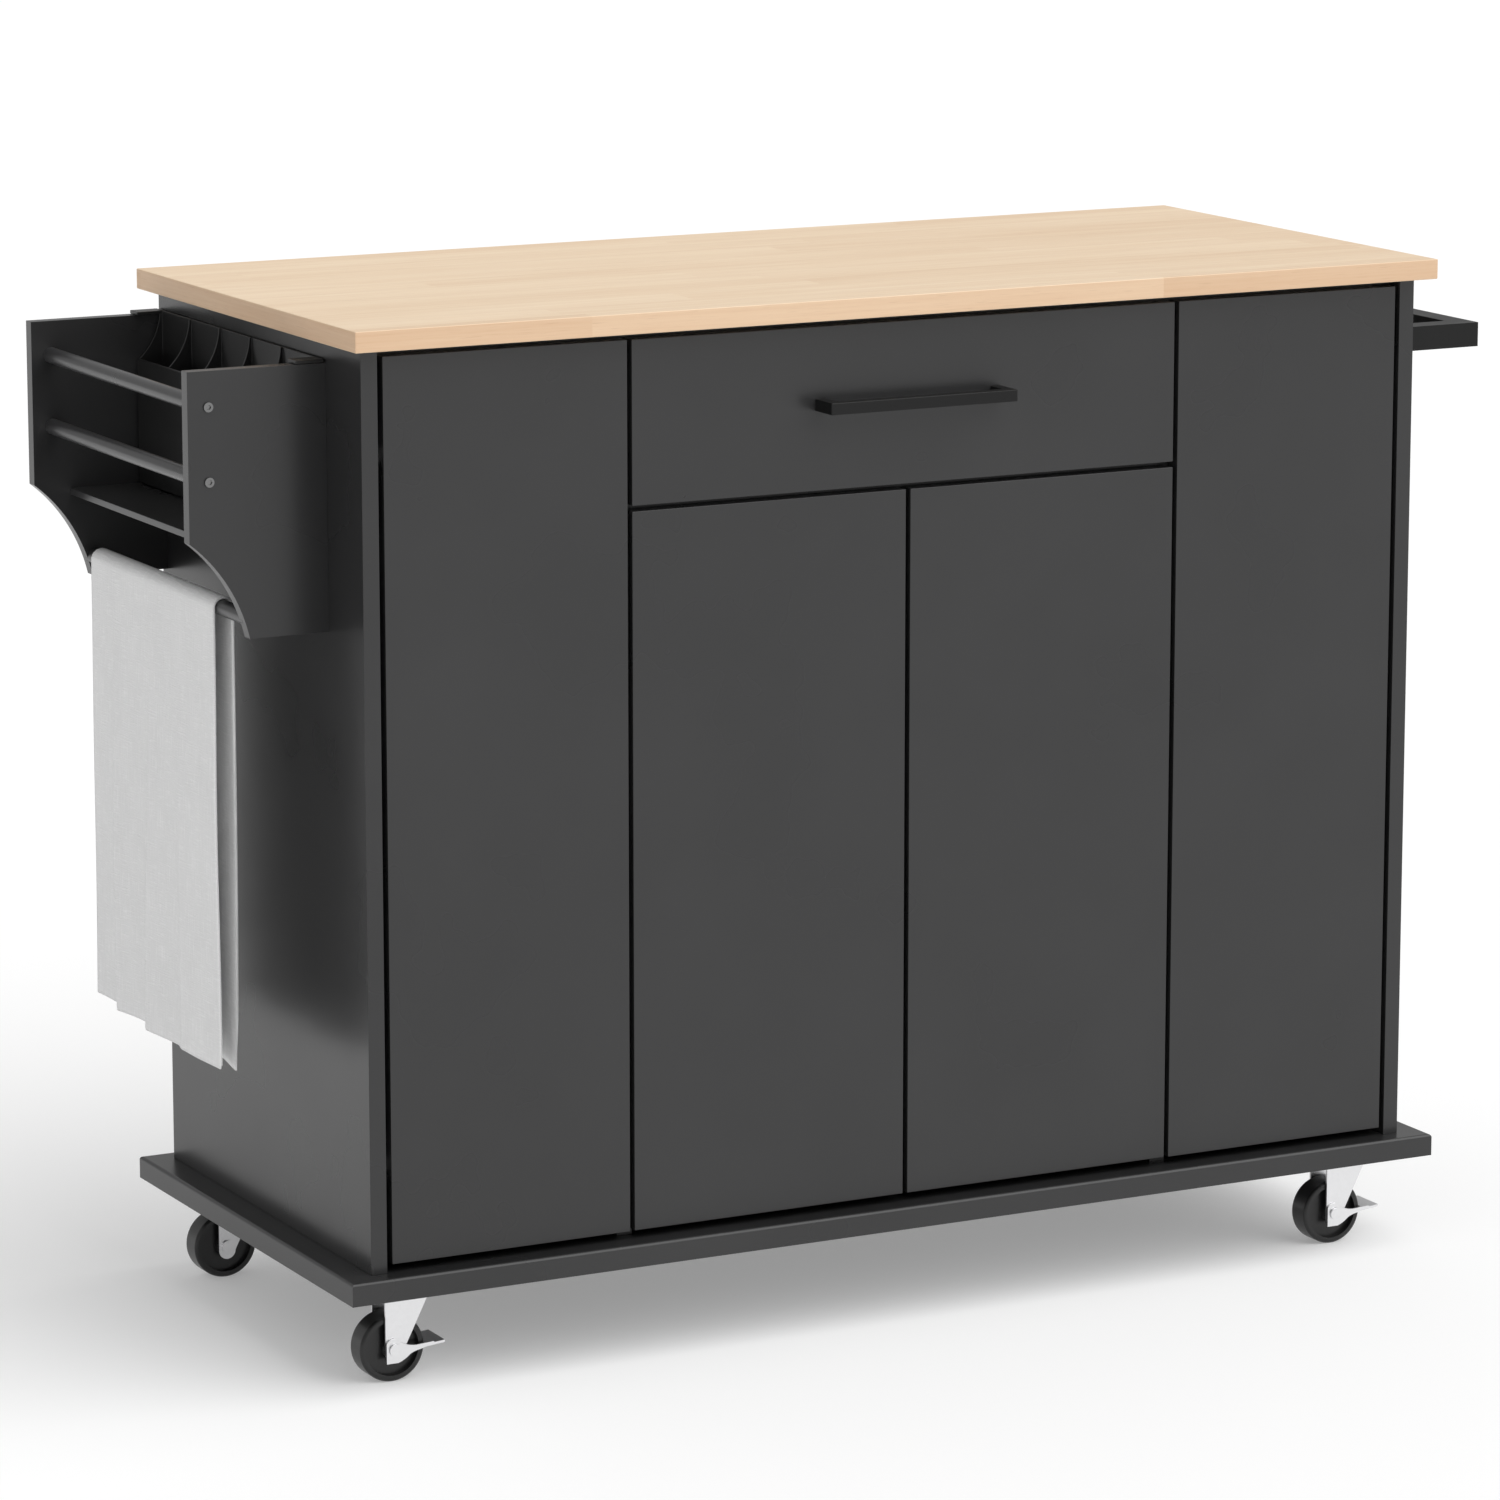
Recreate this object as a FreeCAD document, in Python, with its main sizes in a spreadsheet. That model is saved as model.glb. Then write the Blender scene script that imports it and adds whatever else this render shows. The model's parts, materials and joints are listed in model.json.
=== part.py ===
"""Rolling kitchen island: a wooden worktop on a painted cabinet that stands on four casters.

The left end carries a rack with two rails, a shelf, a lift-out bin and a towel bar, and the
right end a push handle. Sizes are in millimetres, +Z is up and the front faces -Y. The origin
is on the floor, under the middle of the whole object; formulas below count from the middle of
the cabinet, and place() shifts each piece from there to the origin.
"""
import FreeCAD, Part
import math
import os
import Sketcher
from FreeCAD import Placement, Rotation, Vector
from types import SimpleNamespace

# ---------------------------------------------------------------- driving sizes
SIZES = {
    # worktop, cabinet and base board
    "worktop_height": 920.0,
    "worktop_end_overhang": 13.0,
    "worktop_front_overhang": 19.0,
    "worktop_thick": 18.0,
    "worktop_round": 1.0,
    "cabinet_width": 1040.0,
    "cabinet_depth": 440.0,
    "board_thick": 15.0,
    "back_thick": 5.0,
    "stretcher_depth": 80.0,
    "base_end_overhang": 26.0,
    "base_front_overhang": 19.0,
    "base_thick": 20.0,
    "base_round": 3.0,
    "caster_height": 85.0,
    # doors and drawer front
    "door_thick": 15.0,
    "side_door_width": 227.0,
    "drawer_front_height": 143.0,
    "side_gap": 5.0,
    "door_gap": 4.5,
    "drawer_gap": 5.0,
    "top_gap": 7.0,
    "base_gap": 7.5,
    "door_buffer": 1.5,
    # shelves
    "shelf_thick": 15.0,
    "shelf_rise": 300.0,
    "shelf_setback": 20.0,
    "shelf_play": 0.5,
    "pin_radius": 2.5,
    "pin_depth": 6.5,
    "pin_proud": 8.0,
    "pin_inset": 45.0,
    "pin_play": 0.05,
    # concealed hinges
    "cup_radius": 17.5,
    "cup_depth": 11.0,
    "cup_inset": 22.5,
    "cup_play": 0.1,
    "flange_width": 14.0,
    "flange_height": 48.0,
    "flange_thick": 1.5,
    "hinge_inset": 85.0,
    "arm_length": 54.0,
    "arm_height": 13.0,
    "arm_thick": 9.0,
    "arm_plate_length": 34.0,
    "arm_plate_height": 46.0,
    "arm_plate_thick": 3.0,
    "arm_setback": 5.0,
    # push latches
    "latch_length": 60.0,
    "latch_width": 12.0,
    "latch_height": 16.0,
    "latch_setback": 4.5,
    "latch_wall": 2.0,
    "plunger_radius": 3.5,
    "plunger_length": 22.0,
    "plunger_play": 0.3,
    # drawer box and its slides
    "drawer_length": 395.0,
    "drawer_height": 100.0,
    "drawer_rise": 10.0,
    "drawer_side_thick": 12.0,
    "drawer_floor_thick": 5.0,
    "drawer_floor_rise": 8.0,
    "slide_space": 13.0,
    "slide_height": 35.0,
    "slide_wall": 1.5,
    "slide_length": 380.0,
    "slide_play": 0.6,
    "runner_height": 22.0,
    # drawer pull
    "pull_length": 184.0,
    "pull_section": 10.5,
    "pull_reach": 30.0,
    "pull_height": 75.0,
    "pull_round": 1.0,
    # rack on the left end
    "rack_reach": 126.0,
    "rack_length": 368.0,
    "rack_board": 12.0,
    "rack_drop": 19.5,
    "rack_height": 230.0,
    "rack_shoulder": 145.5,
    "rack_foot": 72.5,
    "rack_curve": 150.0,
    "rail_radius": 7.0,
    "rail_reach": 107.5,
    "upper_rail_drop": 30.5,
    "lower_rail_drop": 94.0,
    "rack_shelf_drop": 150.0,
    "rack_shelf_thick": 6.0,
    "rack_shelf_reach": 92.0,
    "towel_bar_reach": 70.0,
    "towel_bar_rise": 16.5,
    "bar_seat": 6.0,
    "bar_play": 0.1,
    "screw_radius": 2.0,
    "screw_play": 0.1,
    "screw_bite": 15.0,
    "head_radius": 4.2,
    "head_thick": 1.6,
    "socket_radius": 2.3,
    "socket_depth": 1.2,
    # lift-out bin
    "bin_gap": 1.5,
    "bin_width": 26.0,
    "bin_foot_play": 1.0,
    "bin_front_drop": 43.0,
    "bin_lip_width": 4.0,
    "bin_curve": 60.0,
    "bin_play": 3.0,
    "bin_wall": 2.0,
    "bin_floor": 2.0,
    "bin_pockets": 5.0,
    "ear_thick": 3.0,
    "ear_play": 0.3,
    # towel
    "towel_width": 277.0,
    "towel_inset": 51.0,
    "towel_drop": 402.0,
    "towel_thick": 2.5,
    "towel_play": 0.3,
    # push handle on the right end
    "handle_reach": 77.0,
    "handle_section": 22.0,
    "handle_inset": 10.0,
    "handle_drop": 46.5,
    # casters
    "caster_inset": 68.0,
    "caster_margin": 55.0,
    "plate_length": 62.0,
    "plate_width": 50.0,
    "plate_thick": 2.5,
    "plate_screw_inset": 8.0,
    "plate_head_radius": 3.8,
    "plate_head_thick": 2.2,
    "plate_screw_bite": 14.0,
    "race_radius": 14.0,
    "race_height": 3.5,
    "kingpin_radius": 4.0,
    "kingpin_head": 7.0,
    "kingpin_head_thick": 2.0,
    "swivel_play": 0.3,
    "trail": 12.0,
    "fork_thick": 2.0,
    "fork_back": 8.0,
    "fork_front": 34.5,
    "fork_foot": 12.0,
    "wheel_radius": 30.0,
    "wheel_width": 24.0,
    "wheel_play": 1.0,
    "wheel_round": 3.0,
    "rim_depth": 5.5,
    "web_width": 14.0,
    "hub_radius": 9.0,
    "axle_radius": 4.0,
    "axle_play": 0.08,
    "axle_head": 5.5,
    "axle_head_thick": 1.8,
    # brake levers on the front casters
    "lever_thick": 2.0,
    "lever_boss": 10.0,
    "lever_boss_side": 6.0,
    "lever_back": 8.0,
    "lever_heel": 3.0,
    "lever_foot": 12.0,
    "lever_calf": 14.0,
    "lever_shin": 5.5,
    "lever_neck": 4.5,
    "lever_neck_length": 7.5,
    "lever_curve": 30.0,
    "lever_tip_rise": 3.0,
    "pedal_length": 15.5,
    "pedal_grip": 5.5,
    "pedal_drop": 1.5,
    "pedal_thick": 2.2,
    "pedal_play": 1.5,
}

doc = FreeCAD.newDocument("KitchenIsland")
sheet = doc.addObject("Spreadsheet::Sheet", "Sizes")
for row, (alias, number) in enumerate(SIZES.items(), start=1):
    sheet.set(f"A{row}", alias)
    sheet.set(f"B{row}", str(number))
    sheet.setAlias(f"B{row}", alias)
doc.recompute()


class Size:
    """A length that knows both its formula on the sheet and its value."""

    def __init__(self, formula, value):
        self.formula = formula
        self.value = value

    def __add__(self, other):
        return join(self, "+", other, value_of(self) + value_of(other))

    def __radd__(self, other):
        return join(other, "+", self, value_of(other) + value_of(self))

    def __sub__(self, other):
        return join(self, "-", other, value_of(self) - value_of(other))

    def __rsub__(self, other):
        return join(other, "-", self, value_of(other) - value_of(self))

    def __mul__(self, other):
        return join(self, "*", other, value_of(self) * value_of(other))

    def __rmul__(self, other):
        return join(other, "*", self, value_of(other) * value_of(self))

    def __truediv__(self, other):
        return join(self, "/", other, value_of(self) / value_of(other))

    def __neg__(self):
        return join(-1, "*", self, -value_of(self))


def value_of(length):
    """The number that a Size or a plain number stands for."""
    return length.value if isinstance(length, Size) else float(length)


def formula_of(length):
    """The text that a Size or a plain number has in an expression."""
    return length.formula if isinstance(length, Size) else repr(float(length))


def join(left, sign, right, value):
    """Two lengths put together by one of the four signs."""
    return Size(f"({formula_of(left)} {sign} {formula_of(right)})", value)


S = SimpleNamespace(**{alias: Size(f"Sizes.{alias}", number) for alias, number in SIZES.items()})

# ---------------------------------------------------------------- places, from the cabinet's middle
SHIFT_X = (S.rack_reach - S.handle_reach) / 2
SHIFT_Y = (S.pull_reach - S.worktop_front_overhang) / 2
HALF_WIDTH = S.cabinet_width / 2
FRONT = -S.cabinet_depth / 2
REAR = S.cabinet_depth / 2
BASE_TOP = S.caster_height + S.base_thick
UNDER_TOP = S.worktop_height - S.worktop_thick
INNER_X = HALF_WIDTH - S.board_thick
DOOR_BACK = FRONT + S.door_thick
CARCASS_FRONT = DOOR_BACK + S.door_buffer
CARCASS_BACK = REAR - S.back_thick
DOOR_OUTER_X = INNER_X - S.side_gap
DOOR_INNER_X = DOOR_OUTER_X - S.side_door_width
CENTRE_OUTER_X = DOOR_INNER_X - S.door_gap
PARTITION_X = (DOOR_INNER_X + CENTRE_OUTER_X) / 2
PARTITION_OUT = PARTITION_X + S.board_thick / 2
PARTITION_IN = PARTITION_X - S.board_thick / 2
DOOR_BOTTOM = BASE_TOP + S.base_gap
DOOR_TOP = UNDER_TOP - S.top_gap
DRAWER_BOTTOM = DOOR_TOP - S.drawer_front_height
CENTRE_DOOR_TOP = DRAWER_BOTTOM - S.drawer_gap
DIVIDER_Z = (DRAWER_BOTTOM + CENTRE_DOOR_TOP) / 2
STRETCHER_BOTTOM = UNDER_TOP - S.board_thick

pieces = []


# ---------------------------------------------------------------- helpers
def bind(item, prop, length):
    """Bind one property of an object to a length."""
    item.setExpression(prop, formula_of(length))


def place(item, x=0, y=0, z=0, turn=None, inner=False):
    """Put an object at a point counted from the cabinet's middle; inner keeps it unshifted."""
    item.Placement = Placement(Vector(), turn or Rotation())
    bind(item, "Placement.Base.x", x + (0 if inner else SHIFT_X))
    bind(item, "Placement.Base.y", y + (0 if inner else SHIFT_Y))
    bind(item, "Placement.Base.z", z)
    return item


def keep(item):
    """Count an object as a finished piece, named by its label."""
    pieces.append(item)
    return item


def box(name, x, y, z, inner=False):
    """A box between pairs of faces (low, high) along X, Y and Z."""
    item = doc.addObject("Part::Box", name)
    item.Label = name
    for prop, (low, high) in (("Length", x), ("Width", y), ("Height", z)):
        bind(item, prop, high - low)
    return place(item, x[0], y[0], z[0], inner=inner)


def board(name, x, y, z):
    """A finished plain board."""
    return keep(box(name, x, y, z))


ALONG = {"x": Rotation(Vector(0, 1, 0), 90), "y": Rotation(Vector(1, 0, 0), -90), "z": Rotation()}


def rod(name, radius, length, x, y, z, along, inner=True):
    """A cylinder that starts at a point and runs along +X, +Y or +Z."""
    item = doc.addObject("Part::Cylinder", name)
    item.Label = name
    bind(item, "Radius", radius)
    bind(item, "Height", length)
    return place(item, x, y, z, ALONG[along], inner)


def group(name, parts, kind="Part::Compound", inner=False):
    """Several shapes in one object: a compound of separate solids, or one fused solid."""
    item = doc.addObject(kind, name)
    item.Label = name
    if kind == "Part::Compound":
        item.Links = parts
    else:
        item.Shapes = parts
    return place(item, inner=inner)


def drilled(name, base, holes):
    """A shape with the given shapes cut out of it."""
    item = doc.addObject("Part::Cut", name)
    item.Label = name
    item.Base = base
    item.Tool = group(f"{name}_holes", holes, inner=True)
    return place(item)


def new_body(name, x=0, y=0, z=0, turn=None, inner=False):
    """An empty body, placed."""
    item = doc.addObject("PartDesign::Body", name)
    item.Label = name
    return place(item, x, y, z, turn, inner)


def new_sketch(body, name, role, offset=0):
    """A sketch on one of its body's origin planes, moved along the plane's normal."""
    sketch = body.newObject("Sketcher::SketchObject", name)
    plane = next(item for item in body.Origin.OriginFeatures if item.Role == role)
    sketch.AttachmentSupport = (plane, [""])
    sketch.MapMode = "FlatFace"
    sketch.setExpression(".AttachmentOffset.Base.z", formula_of(offset))
    return sketch


def fix_point(sketch, edge, end, point):
    """Tie one point of a sketch to the sketch's origin along both axes."""
    for kind, length in zip(("DistanceX", "DistanceY"), point):
        rule = Sketcher.Constraint(kind, -1, 1, edge, end, value_of(length))
        index = sketch.addConstraint(rule)
        sketch.setExpression(f"Constraints[{index}]", formula_of(length))


def arc_between(start, end, radius, turn):
    """The short arc from start to end: turn is 1 anticlockwise and -1 clockwise."""
    middle = (start + end) * 0.5
    chord = end - start
    rise = math.sqrt(radius**2 - (chord.Length / 2)**2)
    normal = Vector(-chord.y, chord.x, 0).normalize()
    centre = middle + normal * rise * turn
    first, last = (start, end) if turn > 0 else (end, start)
    low = math.atan2(first.y - centre.y, first.x - centre.x)
    high = math.atan2(last.y - centre.y, last.x - centre.x)
    return Part.ArcOfCircle(Part.Circle(centre, Vector(0, 0, 1), radius), low, high)


def outline(sketch, points, arcs=None):
    """A closed outline through points; arcs maps an edge's number to (radius, turn)."""
    arcs = arcs or {}
    spots = [Vector(value_of(x), value_of(y), 0) for x, y in points]
    first = sketch.GeometryCount
    ends = []
    for number, start in enumerate(spots):
        end = spots[(number + 1) % len(spots)]
        if number in arcs:
            radius, turn = arcs[number]
            edge = sketch.addGeometry(arc_between(start, end, value_of(radius), turn), False)
            rule = sketch.addConstraint(Sketcher.Constraint("Radius", edge, value_of(radius)))
            sketch.setExpression(f"Constraints[{rule}]", formula_of(radius))
            ends.append((1, 2) if turn > 0 else (2, 1))
        else:
            sketch.addGeometry(Part.LineSegment(start, end), False)
            ends.append((1, 2))
    for number, point in enumerate(points):
        after = (number + 1) % len(points)
        link = (first + number, ends[number][1], first + after, ends[after][0])
        sketch.addConstraint(Sketcher.Constraint("Coincident", *link))
        fix_point(sketch, first + number, ends[number][0], point)
    return sketch


def circle(sketch, x, y, radius):
    """A circle of a sketch, tied to the sketch's origin."""
    spot = Vector(value_of(x), value_of(y), 0)
    edge = sketch.addGeometry(Part.Circle(spot, Vector(0, 0, 1), value_of(radius)), False)
    rule = sketch.addConstraint(Sketcher.Constraint("Radius", edge, value_of(radius)))
    sketch.setExpression(f"Constraints[{rule}]", formula_of(radius))
    fix_point(sketch, edge, 3, (x, y))


def rectangle(sketch, x, y):
    """A rectangle between pairs of sides (low, high)."""
    return outline(sketch, [(x[0], y[0]), (x[1], y[0]), (x[1], y[1]), (x[0], y[1])])


def pad(body, sketch, length):
    """Grow a sketch along its normal: +Z on the XY plane, -Y on the XZ plane."""
    item = body.newObject("PartDesign::Pad", f"{sketch.Name}_pad")
    item.Profile = sketch
    bind(item, "Length", length)
    return item


def pocket(body, sketch, length, backward=False):
    """Cut a sketch into the body and make sure that it removes something."""
    doc.recompute()
    before = body.Shape.Volume
    item = body.newObject("PartDesign::Pocket", f"{sketch.Name}_cut")
    item.Profile = sketch
    item.Reversed = backward
    bind(item, "Length", length)
    doc.recompute()
    if body.Shape.Volume > before - 1:
        raise RuntimeError(f"{item.Name} removes nothing")
    return item


def soften(body, feature, radius, wanted):
    """Round those edges of a feature that the test wanted accepts."""
    doc.recompute()
    names = [f"Edge{i}" for i, edge in enumerate(feature.Shape.Edges, start=1) if wanted(edge)]
    item = body.newObject("PartDesign::Fillet", f"{feature.Name}_round")
    item.Base = (feature, names)
    bind(item, "Radius", radius)
    return item


# ---------------------------------------------------------------- worktop and base board
def make_worktop():
    """The edge-glued worktop, with every arris eased."""
    body = new_body("worktop", z=UNDER_TOP)
    half_x = HALF_WIDTH + S.worktop_end_overhang
    half_y = REAR + S.worktop_front_overhang
    sketch = new_sketch(body, "worktop_outline", "XY_Plane")
    rectangle(sketch, (-half_x, half_x), (-half_y, half_y))
    slab = pad(body, sketch, S.worktop_thick)
    soften(body, slab, S.worktop_round, lambda edge: True)
    return keep(body)


CASTERS = {
    "front_left": (-1, -1),
    "front_right": (1, -1),
    "rear_left": (-1, 1),
    "rear_right": (1, 1),
}
BASE_HALF_X = HALF_WIDTH + S.base_end_overhang
BASE_HALF_Y = REAR + S.base_front_overhang
CASTER_X = BASE_HALF_X - S.caster_inset
CASTER_Y = BASE_HALF_Y - S.caster_margin


def caster_screw_spots():
    """The centre of each screw in each caster plate."""
    reach_x = S.plate_length / 2 - S.plate_screw_inset
    reach_y = S.plate_width / 2 - S.plate_screw_inset
    return [
        (CASTER_X * side_x + reach_x * step_x, CASTER_Y * side_y + reach_y * step_y)
        for side_x, side_y in CASTERS.values()
        for step_x in (-1, 1)
        for step_y in (-1, 1)
    ]


def make_base_board():
    """The base board, rounded round its top, with blind holes for the caster screws."""
    body = new_body("base_board", z=S.caster_height)
    outline_x = (-BASE_HALF_X, BASE_HALF_X)
    outline_y = (-BASE_HALF_Y, BASE_HALF_Y)
    sketch = rectangle(new_sketch(body, "base_outline", "XY_Plane"), outline_x, outline_y)
    slab = pad(body, sketch, S.base_thick)
    top = value_of(S.base_thick)
    soften(body, slab, S.base_round, lambda edge: all(abs(v.Z - top) < 0.01 for v in edge.Vertexes))
    holes = new_sketch(body, "base_screw_holes", "XY_Plane")
    for x, y in caster_screw_spots():
        circle(holes, x, y, S.screw_radius + S.screw_play)
    pocket(body, holes, S.plate_screw_bite, backward=True)
    return keep(body)


# ---------------------------------------------------------------- cabinet boards
SHELF_TOP = BASE_TOP + S.shelf_rise
SHELF_BOTTOM = SHELF_TOP - S.shelf_thick
PIN_Z = SHELF_BOTTOM - S.pin_radius
PIN_ROWS = (CARCASS_FRONT + S.shelf_setback + S.pin_inset, CARCASS_BACK - S.pin_inset)


def along_x(start, way, length):
    """The low end of a run of some length that leaves start towards way along X."""
    return start if way > 0 else start - length


def pin_holes(name, wall_x, way):
    """Blind holes for shelf pins in one face of an upright, whose pins stand out towards way."""
    radius = S.pin_radius + S.pin_play
    start = along_x(wall_x, -way, S.pin_depth)
    return [rod(f"{name}_{row}", radius, S.pin_depth, start, y, PIN_Z, "x") for row, y in enumerate(PIN_ROWS)]


def make_uprights():
    """Side panels and partitions, drilled for the shelf pins."""
    for side, name in ((-1, "left"), (1, "right")):
        width = along_x(INNER_X * side, side, S.board_thick)
        span = (width, width + S.board_thick)
        blank = box(f"{name}_side_blank", span, (FRONT, REAR), (BASE_TOP, UNDER_TOP), inner=True)
        keep(drilled(f"{name}_side_panel", blank, pin_holes(f"{name}_side_hole", INNER_X * side, -side)))
        width = along_x(PARTITION_IN * side, side, S.board_thick)
        span = (width, width + S.board_thick)
        depth = (CARCASS_FRONT, CARCASS_BACK)
        blank = box(f"{name}_partition_blank", span, depth, (BASE_TOP, STRETCHER_BOTTOM), inner=True)
        holes = pin_holes(f"{name}_partition_outer_hole", PARTITION_OUT * side, side)
        holes += pin_holes(f"{name}_partition_inner_hole", PARTITION_IN * side, -side)
        keep(drilled(f"{name}_partition", blank, holes))


def make_carcass():
    """Back panel, the two stretchers under the worktop and the board under the drawer."""
    board("back_panel", (-INNER_X, INNER_X), (CARCASS_BACK, REAR), (BASE_TOP, UNDER_TOP))
    rows = {
        "front_stretcher": (CARCASS_FRONT, CARCASS_FRONT + S.stretcher_depth),
        "rear_stretcher": (CARCASS_BACK - S.stretcher_depth, CARCASS_BACK),
    }
    for name, span in rows.items():
        board(name, (-INNER_X, INNER_X), span, (STRETCHER_BOTTOM, UNDER_TOP))
    span = (-PARTITION_IN, PARTITION_IN)
    half = S.board_thick / 2
    board("drawer_divider", span, (CARCASS_FRONT, CARCASS_BACK), (DIVIDER_Z - half, DIVIDER_Z + half))


def make_shelves():
    """One shelf in each cupboard, lying on its pins with a little play all round."""
    depth = (CARCASS_FRONT + S.shelf_setback, CARCASS_BACK - S.shelf_play)
    bays = {
        "left_shelf": (-INNER_X, -PARTITION_OUT),
        "centre_shelf": (-PARTITION_IN, PARTITION_IN),
        "right_shelf": (PARTITION_OUT, INNER_X),
    }
    for name, (low, high) in bays.items():
        board(name, (low + S.shelf_play, high - S.shelf_play), depth, (SHELF_BOTTOM, SHELF_TOP))


def make_shelf_pins():
    """Round pins in the uprights' holes, four under each shelf."""
    pins = []
    walls = [(-INNER_X, 1), (-PARTITION_OUT, -1), (-PARTITION_IN, 1)]
    walls += [(PARTITION_IN, -1), (PARTITION_OUT, 1), (INNER_X, -1)]
    for number, (wall_x, way) in enumerate(walls):
        start = along_x(wall_x - way * S.pin_depth, way, S.pin_depth + S.pin_proud)
        for row, y in enumerate(PIN_ROWS):
            length = S.pin_depth + S.pin_proud
            pins.append(rod(f"pin_{number}_{row}", S.pin_radius, length, start, y, PIN_Z, "x"))
    return keep(group("shelf_pins", pins))


# ---------------------------------------------------------------- doors, hinges and latches
# name: (hinge edge, side the hinge edge faces, free edge, top)
DOORS = {
    "left_door": (-DOOR_OUTER_X, -1, -DOOR_INNER_X, DOOR_TOP),
    "centre_left_door": (-CENTRE_OUTER_X, -1, -S.door_gap / 2, CENTRE_DOOR_TOP),
    "centre_right_door": (CENTRE_OUTER_X, 1, S.door_gap / 2, CENTRE_DOOR_TOP),
    "right_door": (DOOR_OUTER_X, 1, DOOR_INNER_X, DOOR_TOP),
}


def hinge_heights(top):
    """The two heights of a door's hinges."""
    return (DOOR_BOTTOM + S.hinge_inset, top - S.hinge_inset)


def make_doors():
    """Inset doors with round pockets behind for the hinge cups, and the cups themselves."""
    for name, (hinge_x, side, free_x, top) in DOORS.items():
        low, high = (hinge_x, free_x) if side < 0 else (free_x, hinge_x)
        blank = box(f"{name}_blank", (low, high), (FRONT, DOOR_BACK), (DOOR_BOTTOM, top), inner=True)
        cup_x = hinge_x - side * S.cup_inset
        pockets = []
        cups = []
        for number, z in enumerate(hinge_heights(top)):
            start = DOOR_BACK - S.cup_depth - S.cup_play
            depth = S.cup_depth + S.cup_play
            pockets.append(rod(f"{name}_pocket_{number}", S.cup_radius, depth, cup_x, start, z, "y"))
            start = DOOR_BACK - S.cup_depth
            radius = S.cup_radius - S.cup_play
            cup = rod(f"{name}_cup_{number}", radius, S.cup_depth, cup_x, start, z, "y")
            span = (cup_x - S.flange_width / 2, cup_x + S.flange_width / 2)
            rise = (z - S.flange_height / 2, z + S.flange_height / 2)
            depth = (DOOR_BACK, DOOR_BACK + S.flange_thick)
            flange = box(f"{name}_flange_{number}", span, depth, rise, inner=True)
            cups.append(group(f"{name}_cup_solid_{number}", [cup, flange], "Part::MultiFuse", inner=True))
        keep(drilled(name, blank, pockets))
        keep(group(f"{name}_hinge_cups", cups))


def make_hinge_arms():
    """The hinges' fixed arms on their plates, screwed to the uprights behind the doors."""
    arms = []
    walls = (-INNER_X, -PARTITION_IN, PARTITION_IN, INNER_X)
    for wall_x, (name, (hinge_x, side, free_x, top)) in zip(walls, DOORS.items()):
        for number, z in enumerate(hinge_heights(top)):
            front = DOOR_BACK + S.arm_setback
            start = along_x(wall_x, -side, S.arm_thick)
            rise = (z - S.arm_height / 2, z + S.arm_height / 2)
            span = (start, start + S.arm_thick)
            depth = (front, front + S.arm_length)
            arm = box(f"{name}_arm_{number}", span, depth, rise, inner=True)
            start = along_x(wall_x, -side, S.arm_plate_thick)
            rise = (z - S.arm_plate_height / 2, z + S.arm_plate_height / 2)
            depth = (front + S.arm_length - S.arm_plate_length, front + S.arm_length)
            span = (start, start + S.arm_plate_thick)
            plate = box(f"{name}_arm_plate_{number}", span, depth, rise, inner=True)
            arms.append(group(f"{name}_arm_solid_{number}", [arm, plate], "Part::MultiFuse", inner=True))
    return keep(group("hinge_arms", arms))


def make_latches():
    """Push latches behind the doors' free edges: housings on the cabinet, plungers that travel."""
    housings = []
    for name, (hinge_x, side, free_x, top) in DOORS.items():
        centre_x = free_x + side * (S.latch_width / 2 + S.door_gap + S.board_thick)
        under = STRETCHER_BOTTOM if name in ("left_door", "right_door") else DIVIDER_Z - S.board_thick / 2
        low = DOOR_BACK + S.latch_setback
        span = (centre_x - S.latch_width / 2, centre_x + S.latch_width / 2)
        rise = (under - S.latch_height, under)
        shell = box(f"{name}_latch_blank", span, (low, low + S.latch_length), rise, inner=True)
        z = under - S.latch_height / 2
        bore = S.latch_length - S.latch_wall
        hole = rod(f"{name}_latch_bore", S.plunger_radius + S.plunger_play, bore, centre_x, low, z, "y")
        housing = doc.addObject("Part::Cut", f"{name}_latch_housing")
        housing.Base = shell
        housing.Tool = hole
        housings.append(place(housing, inner=True))
        start = DOOR_BACK + S.plunger_play
        size = (S.plunger_radius, S.plunger_length)
        keep(rod(f"{name}_plunger", *size, centre_x, start, z, "y", inner=False))
    return keep(group("push_latches", housings))


# ---------------------------------------------------------------- drawer
DRAWER_X = PARTITION_IN - S.slide_space
BOX_BOTTOM = DIVIDER_Z + S.board_thick / 2 + S.drawer_rise
BOX_TOP = BOX_BOTTOM + S.drawer_height
BOX_BACK = DOOR_BACK + S.drawer_length
SLIDE_Z = BOX_BOTTOM + S.drawer_height / 2


def make_drawer():
    """Drawer front, two sides, back and floor, butted together."""
    front_x = CENTRE_OUTER_X
    board("drawer_front", (-front_x, front_x), (FRONT, DOOR_BACK), (DRAWER_BOTTOM, DOOR_TOP))
    depth = (DOOR_BACK, BOX_BACK)
    inner_x = DRAWER_X - S.drawer_side_thick
    board("drawer_left_side", (-DRAWER_X, -inner_x), depth, (BOX_BOTTOM, BOX_TOP))
    board("drawer_right_side", (inner_x, DRAWER_X), depth, (BOX_BOTTOM, BOX_TOP))
    depth = (BOX_BACK - S.drawer_side_thick, BOX_BACK)
    board("drawer_back", (-inner_x, inner_x), depth, (BOX_BOTTOM, BOX_TOP))
    floor = BOX_BOTTOM + S.drawer_floor_rise
    depth = (DOOR_BACK, BOX_BACK - S.drawer_side_thick)
    board("drawer_floor", (-inner_x, inner_x), depth, (floor, floor + S.drawer_floor_thick))


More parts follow.
